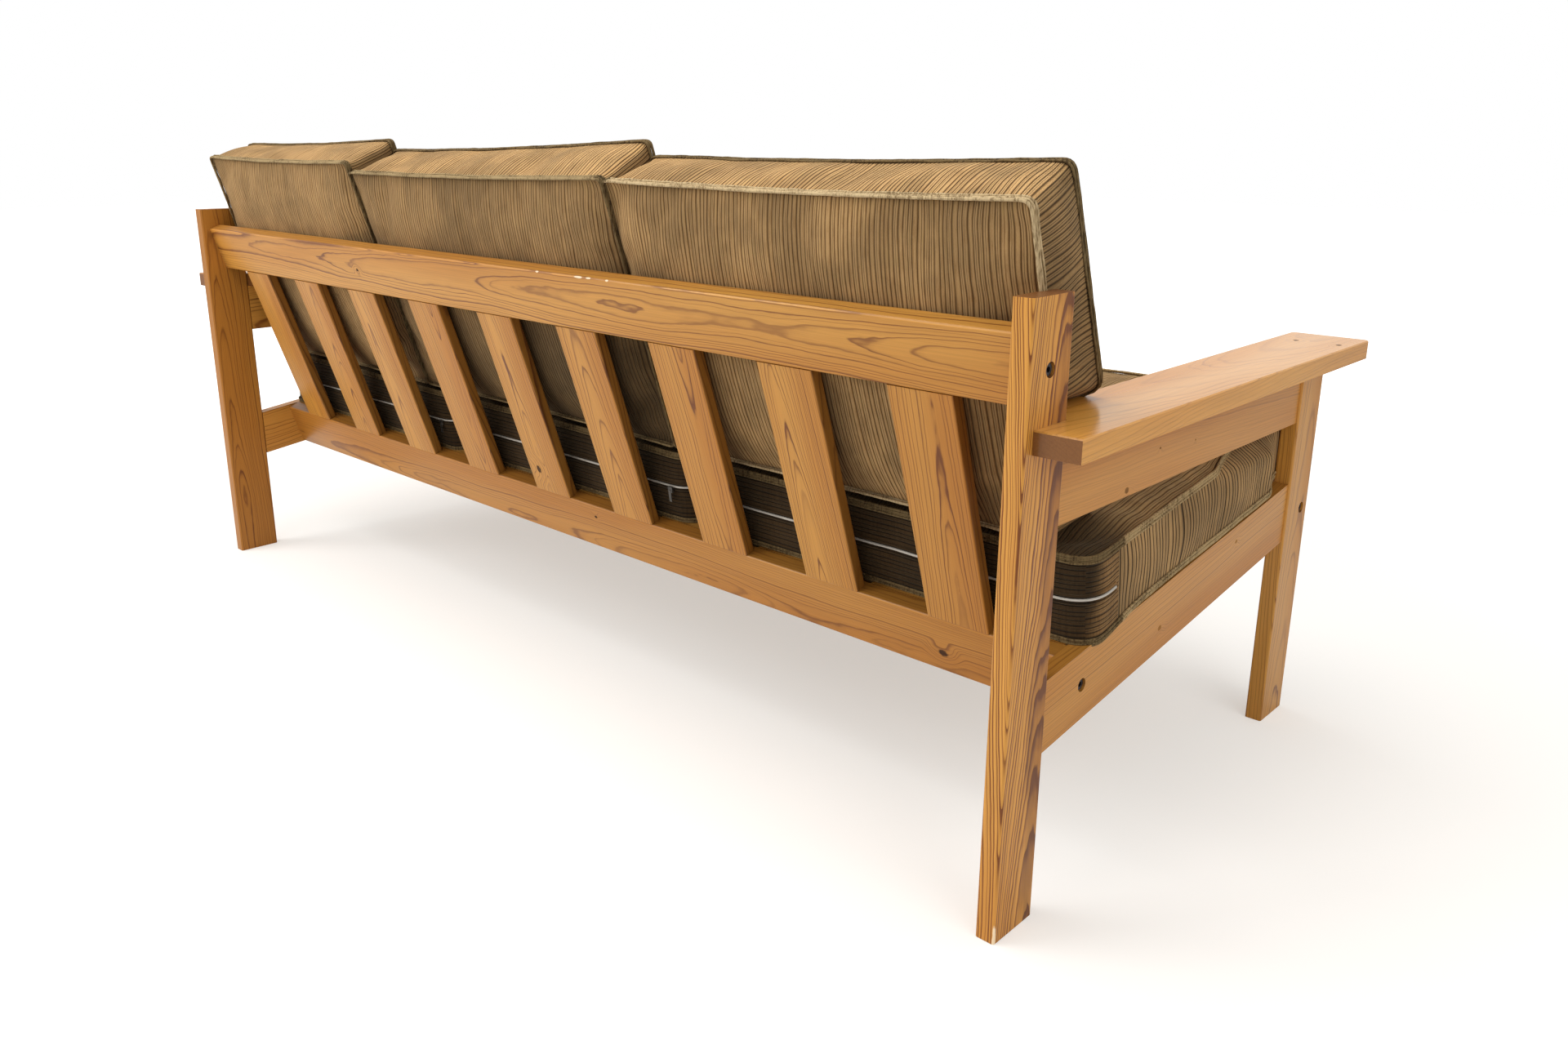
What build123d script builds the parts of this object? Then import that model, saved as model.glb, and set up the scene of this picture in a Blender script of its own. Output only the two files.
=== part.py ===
# Three-seat pine sofa of two glued end frames and three bolted long rails,
# with loose boxed cushions. Millimetres, +Z up, floor at z = 0, the front
# faces -Y, and the origin is on the floor under the middle of the sofa.
# "Left" is the -X end.
import os
from math import atan2, cos, degrees, radians, sin, tan

from build123d import *

# End frames
frame_length = 1880.0        # over the outer faces of the two end frames
frame_depth = 794.0          # back of the rear post to front of the front leg
post_thickness = 24.0        # rear posts and front legs, along X
post_width = 76.0
post_height = 700.0
leg_width = 76.0
side_rail_thickness = 21.0   # inner faces flush with the posts
lower_rail_height = 86.0
lower_rail_level = 242.0     # its centre line at the rear post
seat_angle = 7.5             # rise of the lower side rails to the front
upper_rail_height = 88.0
edge_round = 3.0

# Armrests
arm_top = 572.0
arm_thickness = 25.0
arm_width = 107.0
arm_front_overhang = 9.0     # beyond the front of the leg
arm_outer_overhang = 53.0    # beyond the outer face of the end frame
arm_rear_setback = 14.0      # from the back of the rear post
notch_clearance = 0.2
arm_round = 5.0

# Long rails and back slats; the back is one plane that leans
back_angle = 17.7
back_foot = 225.2            # from the back of the post to that plane at the floor
rail_thickness = 25.0
rail_height = 82.0
bottom_rail_start = 221.0    # up the leaning plane, from the floor
back_gap_height = 311.0      # bare height of the slats between the rails
slat_count = 9
slat_width = 88.0
slat_thickness = 17.0
slat_margin = 88.0           # from the end frames to the first and last slat
tenon_length = 14.0
tenon_thickness = 9.0
tenon_shoulder = 8.0         # at each side of the tenon
tenon_clearance = 0.1
front_rail_setback = 10.0    # behind the front of the leg
front_rail_level = 324.5     # its centre line

# Seat deck
deck_slat_count = 9
deck_slat_width = 70.0
deck_slat_thickness = 18.0
deck_slat_margin = 81.0      # from the end frames to the first and last slat
deck_end_gap = 1.5
ledger_depth = 20.0
ledger_height = 22.0

# Fasteners
bolt_diameter = 8.0
bolt_length = 62.0
bolt_head_diameter = 13.0
bolt_head_height = 8.0
bolt_socket = 6.0            # across the flats of the hexagon socket
washer_diameter = 16.0
washer_thickness = 1.5
bolt_recess = 12.0           # depth of the counterbore
barrel_diameter = 14.0
barrel_length = 20.0
barrel_setback = 34.0        # from the end of the rail
dowel_diameter = 8.0
dowel_length = 60.0
arm_dowel_length = 40.0
arm_dowel_depth = 15.0       # into the underside of the armrest
hole_clearance = 0.1         # all round, for bolts, dowels and nuts
screw_diameter = 3.5
screw_head_diameter = 7.0
screw_head_height = 2.5
deck_screw_length = 32.0
ledger_screw_length = 36.0
ledger_screw_count = 6

# Cushions
soft_gap = 0.3               # between a cushion and what it rests on or beside
seat_shares = (1 / 3, 1 / 3, 1 / 3)       # of the room between the end frames
back_shares = (0.346, 0.357, 0.297)       # the right one is squeezed by the other two
seat_cushion_depth = 640.0
seat_cushion_height = 118.0
seat_cushion_start = 84.5    # along the deck from the front face of the post
seat_crown = 18.0            # fullness of its upper face beyond the seam
seat_low_crown = 4.0         # of its lower face
swell_run = 95.0             # in from the seam to where a face is full
back_cushion_border = 87.0   # between the two seams
back_cushion_crown = 28.0    # fullness of each face beyond its seam
back_cushion_top_crown = 8.0 # fullness of the border along the top
back_cushion_reach = 811.0   # its top seam, up the leaning plane
cushion_round = 20.0
cover_thickness = 3.0
zip_end_margin = 35.0        # from each side of the cushion to the zip
zip_tape_height = 26.0
zip_tape_thickness = 1.2
zip_coil_height = 5.0
zip_coil_thickness = 1.6
slider_width = 9.0
slider_height = 9.0
slider_thickness = 3.0
pull_length = 18.0
pull_width = 5.0
pull_thickness = 1.2

# Worked out from the sizes above
half_length = frame_length / 2
inner_x = half_length - post_thickness
slat_pitch = (2 * (inner_x - slat_margin) - slat_width) / (slat_count - 1)
deck_slat_pitch = (2 * (inner_x - deck_slat_margin) - deck_slat_width) / (deck_slat_count - 1)
arm_length = frame_depth - arm_rear_setback + arm_front_overhang
overall_depth = frame_depth + arm_front_overhang
back_y = overall_depth / 2
post_front_y = back_y - post_width
leg_front_y = back_y - frame_depth
leg_back_y = leg_front_y + leg_width
arm_bottom = arm_top - arm_thickness
rail_side_x = inner_x + side_rail_thickness / 2
deck_slope = tan(radians(seat_angle))
back_sin, back_cos = sin(radians(back_angle)), cos(radians(back_angle))
top_rail_start = bottom_rail_start + rail_height + back_gap_height
front_rail_front_y = leg_front_y + front_rail_setback
front_rail_back_y = front_rail_front_y + rail_thickness
rail_top_at_post = lower_rail_level + lower_rail_height / 2
deck = Location((0, post_front_y, rail_top_at_post), (-seat_angle, 0, 0))
back = Location((0, back_y - back_foot, 0), (-back_angle, 0, 0))
sides = (("left", -1), ("right", 1))


def block(x0, x1, y0, y1, z0, z1):
    """A box between two corners."""
    size = (abs(x1 - x0), abs(y1 - y0), abs(z1 - z0))
    middle = ((x0 + x1) / 2, (y0 + y1) / 2, (z0 + z1) / 2)
    return Pos(*middle) * Box(*size)


def rounded(solid, radius, axis):
    """The solid with its edges along one axis rounded."""
    return fillet(solid.edges().filter_by(axis), radius)


def rod(diameter, length, start, direction):
    """A cylinder from a point along a direction."""
    plane = Plane(origin=start, z_dir=direction)
    return plane * Cylinder(diameter / 2, length, align=(Align.CENTER, Align.CENTER, Align.MIN))


def prism(points, x0, x1):
    """A flat profile in Y and Z, pushed out from x0 to x1."""
    face = Plane.YZ * Polygon(*points, align=None)
    return Pos(x0, 0, 0) * extrude(face, x1 - x0, dir=(1, 0, 0))


def deck_height(y):
    """Height of the deck plane, which runs through the tops of the lower side rails."""
    return rail_top_at_post + (post_front_y - y) * deck_slope


def back_point(up, forward):
    """Y and Z of a point up the leaning back and forward of its rear plane."""
    y = back_y - back_foot + up * back_sin - forward * back_cos
    return (y, up * back_cos + forward * back_sin)


def up_to_deck(forward, above):
    """How far up the leaning back a line at one depth meets a plane parallel to the deck."""
    level = rail_top_at_post + above / cos(radians(seat_angle))
    start_y, start_z = back_point(0, forward)
    rise = level + (post_front_y - start_y) * deck_slope - start_z
    return rise / (back_cos + back_sin * deck_slope)


def cut_all(solid, tools):
    """The solid less every tool."""
    for tool in tools:
        solid = solid - tool
    return solid


# --- fasteners, placed first because the boards are drilled for them ---------

def bolt_sites():
    """Every frame bolt: outer face, axis point, and the direction its nut goes in from."""
    post_bolt = back_point(top_rail_start + rail_height / 2, rail_thickness / 2)
    rail_bolt = back_point(bottom_rail_start + rail_height / 2, rail_thickness / 2)
    leg_bolt = ((front_rail_front_y + front_rail_back_y) / 2, front_rail_level)
    side_rail_outer = inner_x + side_rail_thickness
    forward = (0, -back_cos, back_sin)
    for _, side in sides:
        yield side, half_length, post_bolt, forward
        yield side, side_rail_outer, rail_bolt, forward
        yield side, half_length, leg_bolt, (0, 1, 0)


def frame_bolt(side, outer, point):
    """A socket-head bolt with its washer, sunk in the outer face."""
    inwards = (-side, 0, 0)
    seat = outer - bolt_recess
    washer = rod(washer_diameter, washer_thickness, (side * (seat + washer_thickness), *point), inwards)
    head_bottom = seat + washer_thickness
    head = rod(bolt_head_diameter, bolt_head_height, (side * (head_bottom + bolt_head_height), *point), inwards)
    socket_plane = Plane(origin=(side * (head_bottom + bolt_head_height), *point), z_dir=inwards)
    socket = extrude(socket_plane * RegularPolygon(bolt_socket / 2, 6, major_radius=False), bolt_head_height / 2)
    shank = rod(bolt_diameter, bolt_length, (side * head_bottom, *point), inwards)
    return head - socket + washer + shank


def bolt_hole(side, outer, point):
    """The clearance hole and counterbore for a frame bolt."""
    inwards = (-side, 0, 0)
    bore = bolt_diameter + 2 * hole_clearance
    through = rod(bore, bolt_recess + bolt_length + 2, (side * outer, *point), inwards)
    counterbore = rod(washer_diameter + 2 * hole_clearance, bolt_recess, (side * outer, *point), inwards)
    return through + counterbore


def barrel_nut(side, point, forward):
    """The cross nut in a long rail, centred on its bolt."""
    centre = Vector(side * (inner_x - barrel_setback), *point)
    start = centre - Vector(*forward) * (barrel_length / 2)
    nut = rod(barrel_diameter, barrel_length, start, forward)
    return nut - rod(bolt_diameter + 2 * hole_clearance, barrel_diameter * 2,
                     centre - Vector(barrel_diameter, 0, 0), (1, 0, 0))


def barrel_hole(side, point, forward):
    """The blind hole that the cross nut is pushed into."""
    centre = Vector(side * (inner_x - barrel_setback), *point)
    start = centre - Vector(*forward) * (barrel_length / 2)
    return rod(barrel_diameter + 2 * hole_clearance, barrel_length + rail_thickness, start, forward)


def dowel_sites(side):
    """The start of every dowel between the side rails and their post and leg."""
    x = side * rail_side_x
    upper_middle = arm_bottom - upper_rail_height / 2
    rise = (leg_back_y - post_front_y) * -deck_slope
    for joint_y, level in ((post_front_y, lower_rail_level), (post_front_y, upper_middle),
                           (leg_back_y, lower_rail_level + rise), (leg_back_y, upper_middle)):
        for step in (-1, 1):
            yield (x, joint_y - dowel_length / 2, level + step * lower_rail_height / 4)


def arm_dowel_sites(side):
    """The start of every upright dowel into the armrest."""
    start_z = arm_bottom + arm_dowel_depth - arm_dowel_length
    for share in (0.22, 0.54):
        yield (side * (inner_x + post_thickness / 2), leg_front_y + leg_width * share, start_z)
    rail_span = post_front_y - leg_back_y
    for share in (0.2, 0.5, 0.8):
        yield (side * rail_side_x, post_front_y - rail_span * share, start_z)


def dowel(start, length, direction, clearance=0.0):
    """A dowel, or with a clearance the hole for it."""
    start = Vector(*start) - Vector(*direction) * clearance
    return rod(dowel_diameter + 2 * clearance, length + 2 * clearance, start, direction)


def screw(start, direction, length, clearance=0.0):
    """A countersunk screw from its head, or with a clearance the hole for it."""
    plane = Plane(origin=start, z_dir=direction)
    head = plane * Cone(screw_head_diameter / 2 + clearance, screw_diameter / 2 + clearance, screw_head_height,
                        align=(Align.CENTER, Align.CENTER, Align.MIN))
    return head + rod(screw_diameter + 2 * clearance, length + clearance, start, direction)


def deck_slat_positions():
    """The middle of each deck slat along X."""
    return [(i - (deck_slat_count - 1) / 2) * deck_slat_pitch for i in range(deck_slat_count)]


def deck_screw_sites():
    """Where each deck slat is screwed down to its two ledgers."""
    down = (0, -sin(radians(seat_angle)), -cos(radians(seat_angle)))
    rear_y = (rear_ledger_points()[0][0] + rear_ledger_points()[3][0]) / 2
    front_y = front_rail_back_y + ledger_depth / 2
    for x in deck_slat_positions():
        for y in (rear_y, front_y):
            yield (x, y, deck_height(y)), down


def ledger_screw_sites():
    """Where the two ledgers are screwed to their rails, between the deck slats."""
    spacing = deck_slat_pitch * (deck_slat_count - 2) / (ledger_screw_count - 1)
    rear_up = up_to_deck(rail_thickness, -deck_slat_thickness) - ledger_height / 2
    front_z = deck_height(front_rail_back_y) - deck_slat_thickness - ledger_height * 0.6
    for i in range(ledger_screw_count):
        x = (i - (ledger_screw_count - 1) / 2) * spacing
        yield (x, *back_point(rear_up, rail_thickness + ledger_depth)), (0, back_cos, -back_sin)
        yield (x, front_rail_back_y + ledger_depth, front_z), (0, -1, 0)


# --- boards ------------------------------------------------------------------

def holes_for_end_frame(side):
    """Every dowel and bolt hole in one end frame."""
    tools = [bolt_hole(s, outer, point) for s, outer, point, _ in bolt_sites() if s == side]
    tools += [dowel(site, dowel_length, (0, 1, 0), hole_clearance) for site in dowel_sites(side)]
    tools += [dowel(site, arm_dowel_length, (0, 0, 1), hole_clearance) for site in arm_dowel_sites(side)]
    return tools


def upright(side, y0, y1, height):
    """A post or leg with its upright edges rounded."""
    board = block(side * inner_x, side * half_length, y0, y1, 0, height)
    return rounded(board, edge_round, Axis.Z)


def lower_side_rail(side):
    """The sloping rail that carries the seat."""
    bottom = rail_top_at_post - lower_rail_height
    rise = (post_front_y - leg_back_y) * deck_slope
    profile = [(post_front_y, bottom), (post_front_y, rail_top_at_post),
               (leg_back_y, rail_top_at_post + rise), (leg_back_y, bottom + rise)]
    x0, x1 = sorted((side * inner_x, side * (inner_x + side_rail_thickness)))
    return prism(profile, x0, x1)


def upper_side_rail(side):
    """The level rail under the armrest."""
    return block(side * inner_x, side * (inner_x + side_rail_thickness), leg_back_y, post_front_y,
                 arm_bottom - upper_rail_height, arm_bottom)


def armrest(side):
    """The armrest board, its inner rear corner cut away to fit the post."""
    outer = half_length + arm_outer_overhang
    rear = back_y - arm_rear_setback
    board = block(side * (outer - arm_width), side * outer, rear - arm_length, rear, arm_bottom, arm_top)
    front = board.faces().sort_by(Axis.Y)[0]
    board = fillet(front.edges().filter_by(Axis.Z), arm_round * 1.6)
    board = chamfer(board.faces().sort_by(Axis.Z)[-1].edges(), edge_round / 2)
    notch = block(side * (outer - arm_width - 1), side * (half_length + notch_clearance),
                  post_front_y - notch_clearance, back_y, arm_bottom - 1, arm_top + 1)
    return board - notch


def long_board(up0, up1):
    """A long rail in the leaning back plane."""
    board = block(-inner_x, inner_x, -rail_thickness, 0, up0, up1)
    return back * rounded(board, edge_round, Axis.X)


def front_rail():
    """The upright front rail of the seat."""
    board = block(-inner_x, inner_x, front_rail_front_y, front_rail_back_y,
                  front_rail_level - rail_height / 2, front_rail_level + rail_height / 2)
    return rounded(board, edge_round, Axis.X)


def slat_positions():
    """The middle of each back slat along X."""
    return [(i - (slat_count - 1) / 2) * slat_pitch for i in range(slat_count)]


def slat_tenon(x, clearance=0.0):
    """Both tenons of one slat as a single tongue, or with a clearance the mortises."""
    half_width = slat_width / 2 - tenon_shoulder + clearance
    middle = -slat_thickness / 2
    half_thickness = tenon_thickness / 2 + clearance
    return block(x - half_width, x + half_width, middle - half_thickness, middle + half_thickness,
                 bottom_rail_start + rail_height - tenon_length - clearance,
                 top_rail_start + tenon_length + clearance)


def back_slat(x):
    """One upright slat, flush with the backs of its rails, with a tenon at each end."""
    board = block(x - slat_width / 2, x + slat_width / 2, -slat_thickness, 0,
                  bottom_rail_start + rail_height, top_rail_start)
    return back * (rounded(board, edge_round, Axis.Z) + slat_tenon(x))


def rear_ledger_points():
    """Profile of the rear ledger: on the rail's face, up to the top of the deck."""
    near = up_to_deck(rail_thickness, 0)
    far = up_to_deck(rail_thickness + ledger_depth, 0)
    low = up_to_deck(rail_thickness, -deck_slat_thickness) - ledger_height
    return [back_point(near, rail_thickness), back_point(low, rail_thickness),
            back_point(low, rail_thickness + ledger_depth),
            back_point(far, rail_thickness + ledger_depth)]


def front_ledger_points():
    """Profile of the front ledger."""
    drop = deck_slat_thickness / cos(radians(seat_angle))
    near_y, far_y = front_rail_back_y, front_rail_back_y + ledger_depth
    low = deck_height(far_y) - drop - ledger_height
    return [(near_y, deck_height(near_y)), (near_y, low), (far_y, low), (far_y, deck_height(far_y))]


def slat_housing(x):
    """The open notch in both ledgers that one deck slat lies in."""
    reach = (post_front_y - leg_front_y) / cos(radians(seat_angle))
    half = deck_slat_width / 2 + hole_clearance
    return deck * block(x - half, x + half, -reach, 0, -deck_slat_thickness, deck_slat_thickness)


def deck_slat(x):
    """One slat of the seat deck, from the rear ledger to the front one."""
    lean = deck_slat_thickness * sin(radians(seat_angle))
    rail_face = back_point(up_to_deck(rail_thickness, -deck_slat_thickness), rail_thickness)
    rear_y = rail_face[0] - deck_end_gap
    front_y = front_rail_back_y + deck_end_gap + lean
    stretch = cos(radians(seat_angle))
    board = block(x - deck_slat_width / 2, x + deck_slat_width / 2,
                  (front_y - post_front_y) / stretch, (rear_y - post_front_y) / stretch,
                  -deck_slat_thickness, 0)
    return deck * rounded(board, edge_round, Axis.Y)


# --- cushions ----------------------------------------------------------------

def cushion_span(shares, index, inset=0.0):
    """Both ends of one cushion along X."""
    room = 2 * inner_x - soft_gap
    start = sum(shares[:index]) * room - room / 2
    end = start + shares[index] * room
    return start + soft_gap / 2 + inset, end - soft_gap / 2 - inset


def crowned_outline(along0, along1, low, high, low_crown, high_crown):
    """A cushion in section: straight borders at both ends and crowned faces between them."""
    def edge(along, level, crown, step):
        run = step * swell_run
        radius = (run ** 2 + crown ** 2) / (2 * abs(crown))
        part_way = (radius ** 2 - (run * 0.6) ** 2) ** 0.5 - radius
        bend = crown + (part_way if crown > 0 else -part_way)
        return ThreePointArc((along, level), (along + run * 0.4, level + bend), (along + run, level + crown))

    lines = [edge(along0, high, high_crown, 1), edge(along1, high, high_crown, -1),
             edge(along1, low, -low_crown, -1), edge(along0, low, -low_crown, 1)]
    joins = [Line(lines[0] @ 1, lines[1] @ 1), Line(lines[1] @ 0, lines[2] @ 0),
             Line(lines[2] @ 1, lines[3] @ 1), Line(lines[3] @ 0, lines[0] @ 0)]
    return make_face(Wire(lines + joins))


def seat_cushion(index, inset=0.0):
    """A seat cushion that lies on the deck, or with an inset its foam."""
    x0, x1 = cushion_span(seat_shares, index, inset)
    rear = -seat_cushion_start - inset
    front = -seat_cushion_start - seat_cushion_depth + inset
    levels = (soft_gap + seat_low_crown + inset, soft_gap + seat_cushion_height - seat_crown - inset)
    across = Plane.XZ * crowned_outline(x0, x1, *levels, seat_low_crown, seat_crown)
    along = Plane.YZ * crowned_outline(front, rear, *levels, seat_low_crown, seat_crown)
    body = Pos(0, rear, 0) * extrude(across, rear - front, dir=(0, -1, 0))
    body = body & (Pos(x0, 0, 0) * extrude(along, x1 - x0, dir=(1, 0, 0)))
    upright_edges = body.edges().filter_by(Axis.Z)
    return deck * fillet(upright_edges, cushion_round - inset)


def back_cushion(index, inset=0.0):
    """A back cushion that leans on the rails and stands on the seat, or with an inset its foam."""
    x0, x1 = cushion_span(back_shares, index, inset)
    rear_seam = rail_thickness + soft_gap + back_cushion_crown + inset
    front_seam = rear_seam + back_cushion_border - 2 * inset
    stand = 2 * soft_gap + seat_cushion_height + inset
    top = back_cushion_reach - inset
    rear_low = back_point(up_to_deck(rear_seam, stand), rear_seam)
    front_low = back_point(up_to_deck(front_seam, stand), front_seam)
    rear_high, front_high = back_point(top, rear_seam), back_point(top, front_seam)
    middle = (top + up_to_deck(rear_seam, stand)) / 2
    rear_full = back_point(middle, rear_seam - back_cushion_crown)
    front_full = back_point(middle, front_seam + back_cushion_crown)
    top_full = back_point(top + back_cushion_top_crown, (rear_seam + front_seam) / 2)
    profile = [Line(rear_low, front_low), ThreePointArc(front_low, front_full, front_high),
               ThreePointArc(front_high, top_full, rear_high), ThreePointArc(rear_high, rear_full, rear_low)]
    face = Plane.YZ * make_face(Wire(profile))
    body = Pos(x0, 0, 0) * extrude(face, x1 - x0, dir=(1, 0, 0))
    plan = crowned_outline(x0, x1, -front_seam, -rear_seam, back_cushion_crown, back_cushion_crown)
    body = body & (back * extrude(plan, overall_depth + back_cushion_reach, dir=(0, 0, 1)))
    return body - arm_relief(index, inset)


def arm_relief(index, inset):
    """What the inner edge of an armrest takes out of the side of an outer cushion."""
    side = (index > 0) - (index < len(back_shares) - 1)
    inner_edge = half_length + arm_outer_overhang - arm_width - soft_gap - inset
    edges = (inner_edge, inner_x + 1) if side > 0 else (-inner_x - 1, -inner_edge)
    if side == 0:
        edges = (inner_x + 1, inner_x + 2)
    return block(*edges, leg_front_y, back_y, 0, arm_top + soft_gap + inset)


def zip_frame(index):
    """Both ends of a zip on the rear border of a seat cushion, and its middle height."""
    x0, x1 = cushion_span(seat_shares, index, zip_end_margin)
    return x0, x1, soft_gap + seat_cushion_height / 2 - seat_crown / 2


def zip_strip(index):
    """The zip: a woven tape with its coil, on the rear border of a seat cushion."""
    x0, x1, height = zip_frame(index)
    rear = -seat_cushion_start
    tape = block(x0, x1, rear, rear + zip_tape_thickness,
                 height - zip_tape_height / 2, height + zip_tape_height / 2)
    coil = block(x0, x1, rear, rear + zip_tape_thickness + zip_coil_thickness,
                 height - zip_coil_height / 2, height + zip_coil_height / 2)
    return deck * (tape + coil)


def zip_slider(index):
    """The zip's slider with its pull, at the left end of the zip."""
    x, _, height = zip_frame(index)
    rear = -seat_cushion_start + zip_tape_thickness + zip_coil_thickness + soft_gap
    body = block(x, x + slider_width, rear, rear + slider_thickness,
                 height - slider_height / 2, height + slider_height / 2)
    pull_x = x + (slider_width - pull_width) / 2
    pull = block(pull_x, pull_x + pull_width, rear + slider_thickness,
                 rear + slider_thickness + pull_thickness, height - pull_length, height)
    return deck * (rounded(body, 1.0, Axis.Y) + pull)


# --- assembly ----------------------------------------------------------------

def build_parts():
    """Every sub-part of the sofa by name."""
    parts = {}
    bolts = list(bolt_sites())
    for name, side in sides:
        holes = holes_for_end_frame(side)
        boards = {
            "rear_post": upright(side, post_front_y, back_y, post_height),
            "front_leg": upright(side, leg_front_y, leg_back_y, arm_bottom),
            "lower_side_rail": lower_side_rail(side),
            "upper_side_rail": upper_side_rail(side),
            "armrest": armrest(side),
        }
        for board, solid in boards.items():
            parts[f"{board}_{name}"] = cut_all(solid, holes)

    rail_holes = [bolt_hole(side, outer, point) for side, outer, point, _ in bolts]
    nut_holes = [barrel_hole(side, point, forward) for side, _, point, forward in bolts]
    mortises = [back * slat_tenon(x, tenon_clearance) for x in slat_positions()]
    ledger_screws = [screw(*site, ledger_screw_length) for site in ledger_screw_sites()]
    ledger_screw_holes = [screw(*site, ledger_screw_length, hole_clearance) for site in ledger_screw_sites()]
    deck_screws = [screw(*site, deck_screw_length) for site in deck_screw_sites()]
    deck_screw_holes = [screw(*site, deck_screw_length, hole_clearance) for site in deck_screw_sites()]
    long_rails = {
        "top_back_rail": long_board(top_rail_start, top_rail_start + rail_height),
        "bottom_back_rail": long_board(bottom_rail_start, bottom_rail_start + rail_height),
        "front_seat_rail": front_rail(),
    }
    for name, solid in long_rails.items():
        reach = solid.bounding_box()
        tools = [tool for tool in rail_holes + nut_holes + mortises + ledger_screw_holes
                 if overlaps(reach, tool.bounding_box())]
        parts[name] = cut_all(solid, tools)

    for number, x in enumerate(slat_positions(), 1):
        parts[f"back_slat_{number}"] = back_slat(x)

    ledger_ends = (-inner_x + edge_round, inner_x - edge_round)
    for name, points in (("rear", rear_ledger_points()), ("front", front_ledger_points())):
        ledger = cut_all(prism(points, *ledger_ends), [slat_housing(x) for x in deck_slat_positions()])
        reach = ledger.bounding_box()
        tools = [tool for tool in ledger_screw_holes + deck_screw_holes
                 if overlaps(reach, tool.bounding_box())]
        parts[f"seat_ledger_{name}"] = cut_all(ledger, tools)
    for number, x in enumerate(deck_slat_positions(), 1):
        slat = deck_slat(x)
        tools = [tool for tool in deck_screw_holes
                 if overlaps(slat.bounding_box(), tool.bounding_box())]
        parts[f"seat_slat_{number}"] = cut_all(slat, tools)

    parts["frame_bolts"] = Compound([frame_bolt(side, outer, point) for side, outer, point, _ in bolts])
    parts["barrel_nuts"] = Compound([barrel_nut(side, point, forward) for side, _, point, forward in bolts])
    parts["side_frame_dowels"] = Compound([dowel(site, dowel_length, (0, 1, 0))
                                           for _, side in sides for site in dowel_sites(side)])
    parts["arm_dowels"] = Compound([dowel(site, arm_dowel_length, (0, 0, 1))
                                    for _, side in sides for site in arm_dowel_sites(side)])
    parts["ledger_screws"] = Compound(ledger_screws)
    parts["seat_slat_screws"] = Compound(deck_screws)

    for index, name in enumerate(("left", "middle", "right")):
        for kind, make in (("seat", seat_cushion), ("back", back_cushion)):
            foam = make(index, cover_thickness)
            parts[f"{kind}_cushion_cover_{name}"] = make(index) - foam
            parts[f"{kind}_cushion_foam_{name}"] = foam
        parts[f"seat_zip_{name}"] = zip_strip(index)
        parts[f"seat_zip_slider_{name}"] = zip_slider(index)
    return parts


def overlaps(first, second):
    """Whether two bounding boxes meet."""
    return all(a0 <= b1 and b0 <= a1 for a0, a1, b0, b1 in
               zip(first.min, first.max, second.min, second.max))


os.makedirs("parts", exist_ok=True)
for part_name, part_solid in build_parts().items():
    part_solid.label = part_name
    export_step(part_solid, f"parts/{part_name}.step")
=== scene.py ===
import math

import bmesh
import bpy
import numpy as np
from mathutils import Matrix, Vector, noise


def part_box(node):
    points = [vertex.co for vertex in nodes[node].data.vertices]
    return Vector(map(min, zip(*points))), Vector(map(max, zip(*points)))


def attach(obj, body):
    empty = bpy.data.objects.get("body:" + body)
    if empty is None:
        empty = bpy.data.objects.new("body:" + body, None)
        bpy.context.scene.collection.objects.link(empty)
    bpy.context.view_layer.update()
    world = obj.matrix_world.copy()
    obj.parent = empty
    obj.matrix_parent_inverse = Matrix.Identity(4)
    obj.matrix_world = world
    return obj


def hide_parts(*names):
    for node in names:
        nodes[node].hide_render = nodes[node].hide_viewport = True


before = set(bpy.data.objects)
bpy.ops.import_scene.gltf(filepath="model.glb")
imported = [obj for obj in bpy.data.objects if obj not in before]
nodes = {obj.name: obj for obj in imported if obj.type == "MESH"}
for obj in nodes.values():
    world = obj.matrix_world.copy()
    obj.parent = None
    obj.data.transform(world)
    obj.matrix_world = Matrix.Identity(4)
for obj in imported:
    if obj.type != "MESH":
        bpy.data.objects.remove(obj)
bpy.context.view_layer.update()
scene = bpy.context.scene
print("sofa frame loaded")


def addObject(name, data):
    made = bpy.data.objects.new(name, data)
    scene.collection.objects.link(made)
    return made


# camera first, at eye height behind the left end of the sofa

cameraView = {
    "place": (-1.5308, 1.3832, 0.8464),
    "yaw": 0.757,        # radians, from straight ahead towards the right
    "pitch": -0.280,
    "roll": 0.003,
    "lens": 27.73,
    "shift": (0.0096, -0.0271),
}


def placeCamera():
    yaw, pitch, roll = cameraView["yaw"], cameraView["pitch"], cameraView["roll"]
    ahead = Vector((math.sin(yaw) * math.cos(pitch), -math.cos(yaw) * math.cos(pitch), math.sin(pitch)))
    aside = Vector((-math.cos(yaw), -math.sin(yaw), 0))
    up = aside.cross(ahead)
    right = aside * math.cos(roll) + up * math.sin(roll)
    top = up * math.cos(roll) - aside * math.sin(roll)
    data = bpy.data.cameras.new("camera")
    data.lens = cameraView["lens"]
    data.shift_x, data.shift_y = cameraView["shift"]
    data.clip_end = 50
    camera = addObject("camera", data)
    turn = Matrix((right, top, -ahead)).transposed().to_4x4()
    camera.matrix_world = Matrix.Translation(cameraView["place"]) @ turn
    scene.camera = camera


placeCamera()


# small helpers for building materials

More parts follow.
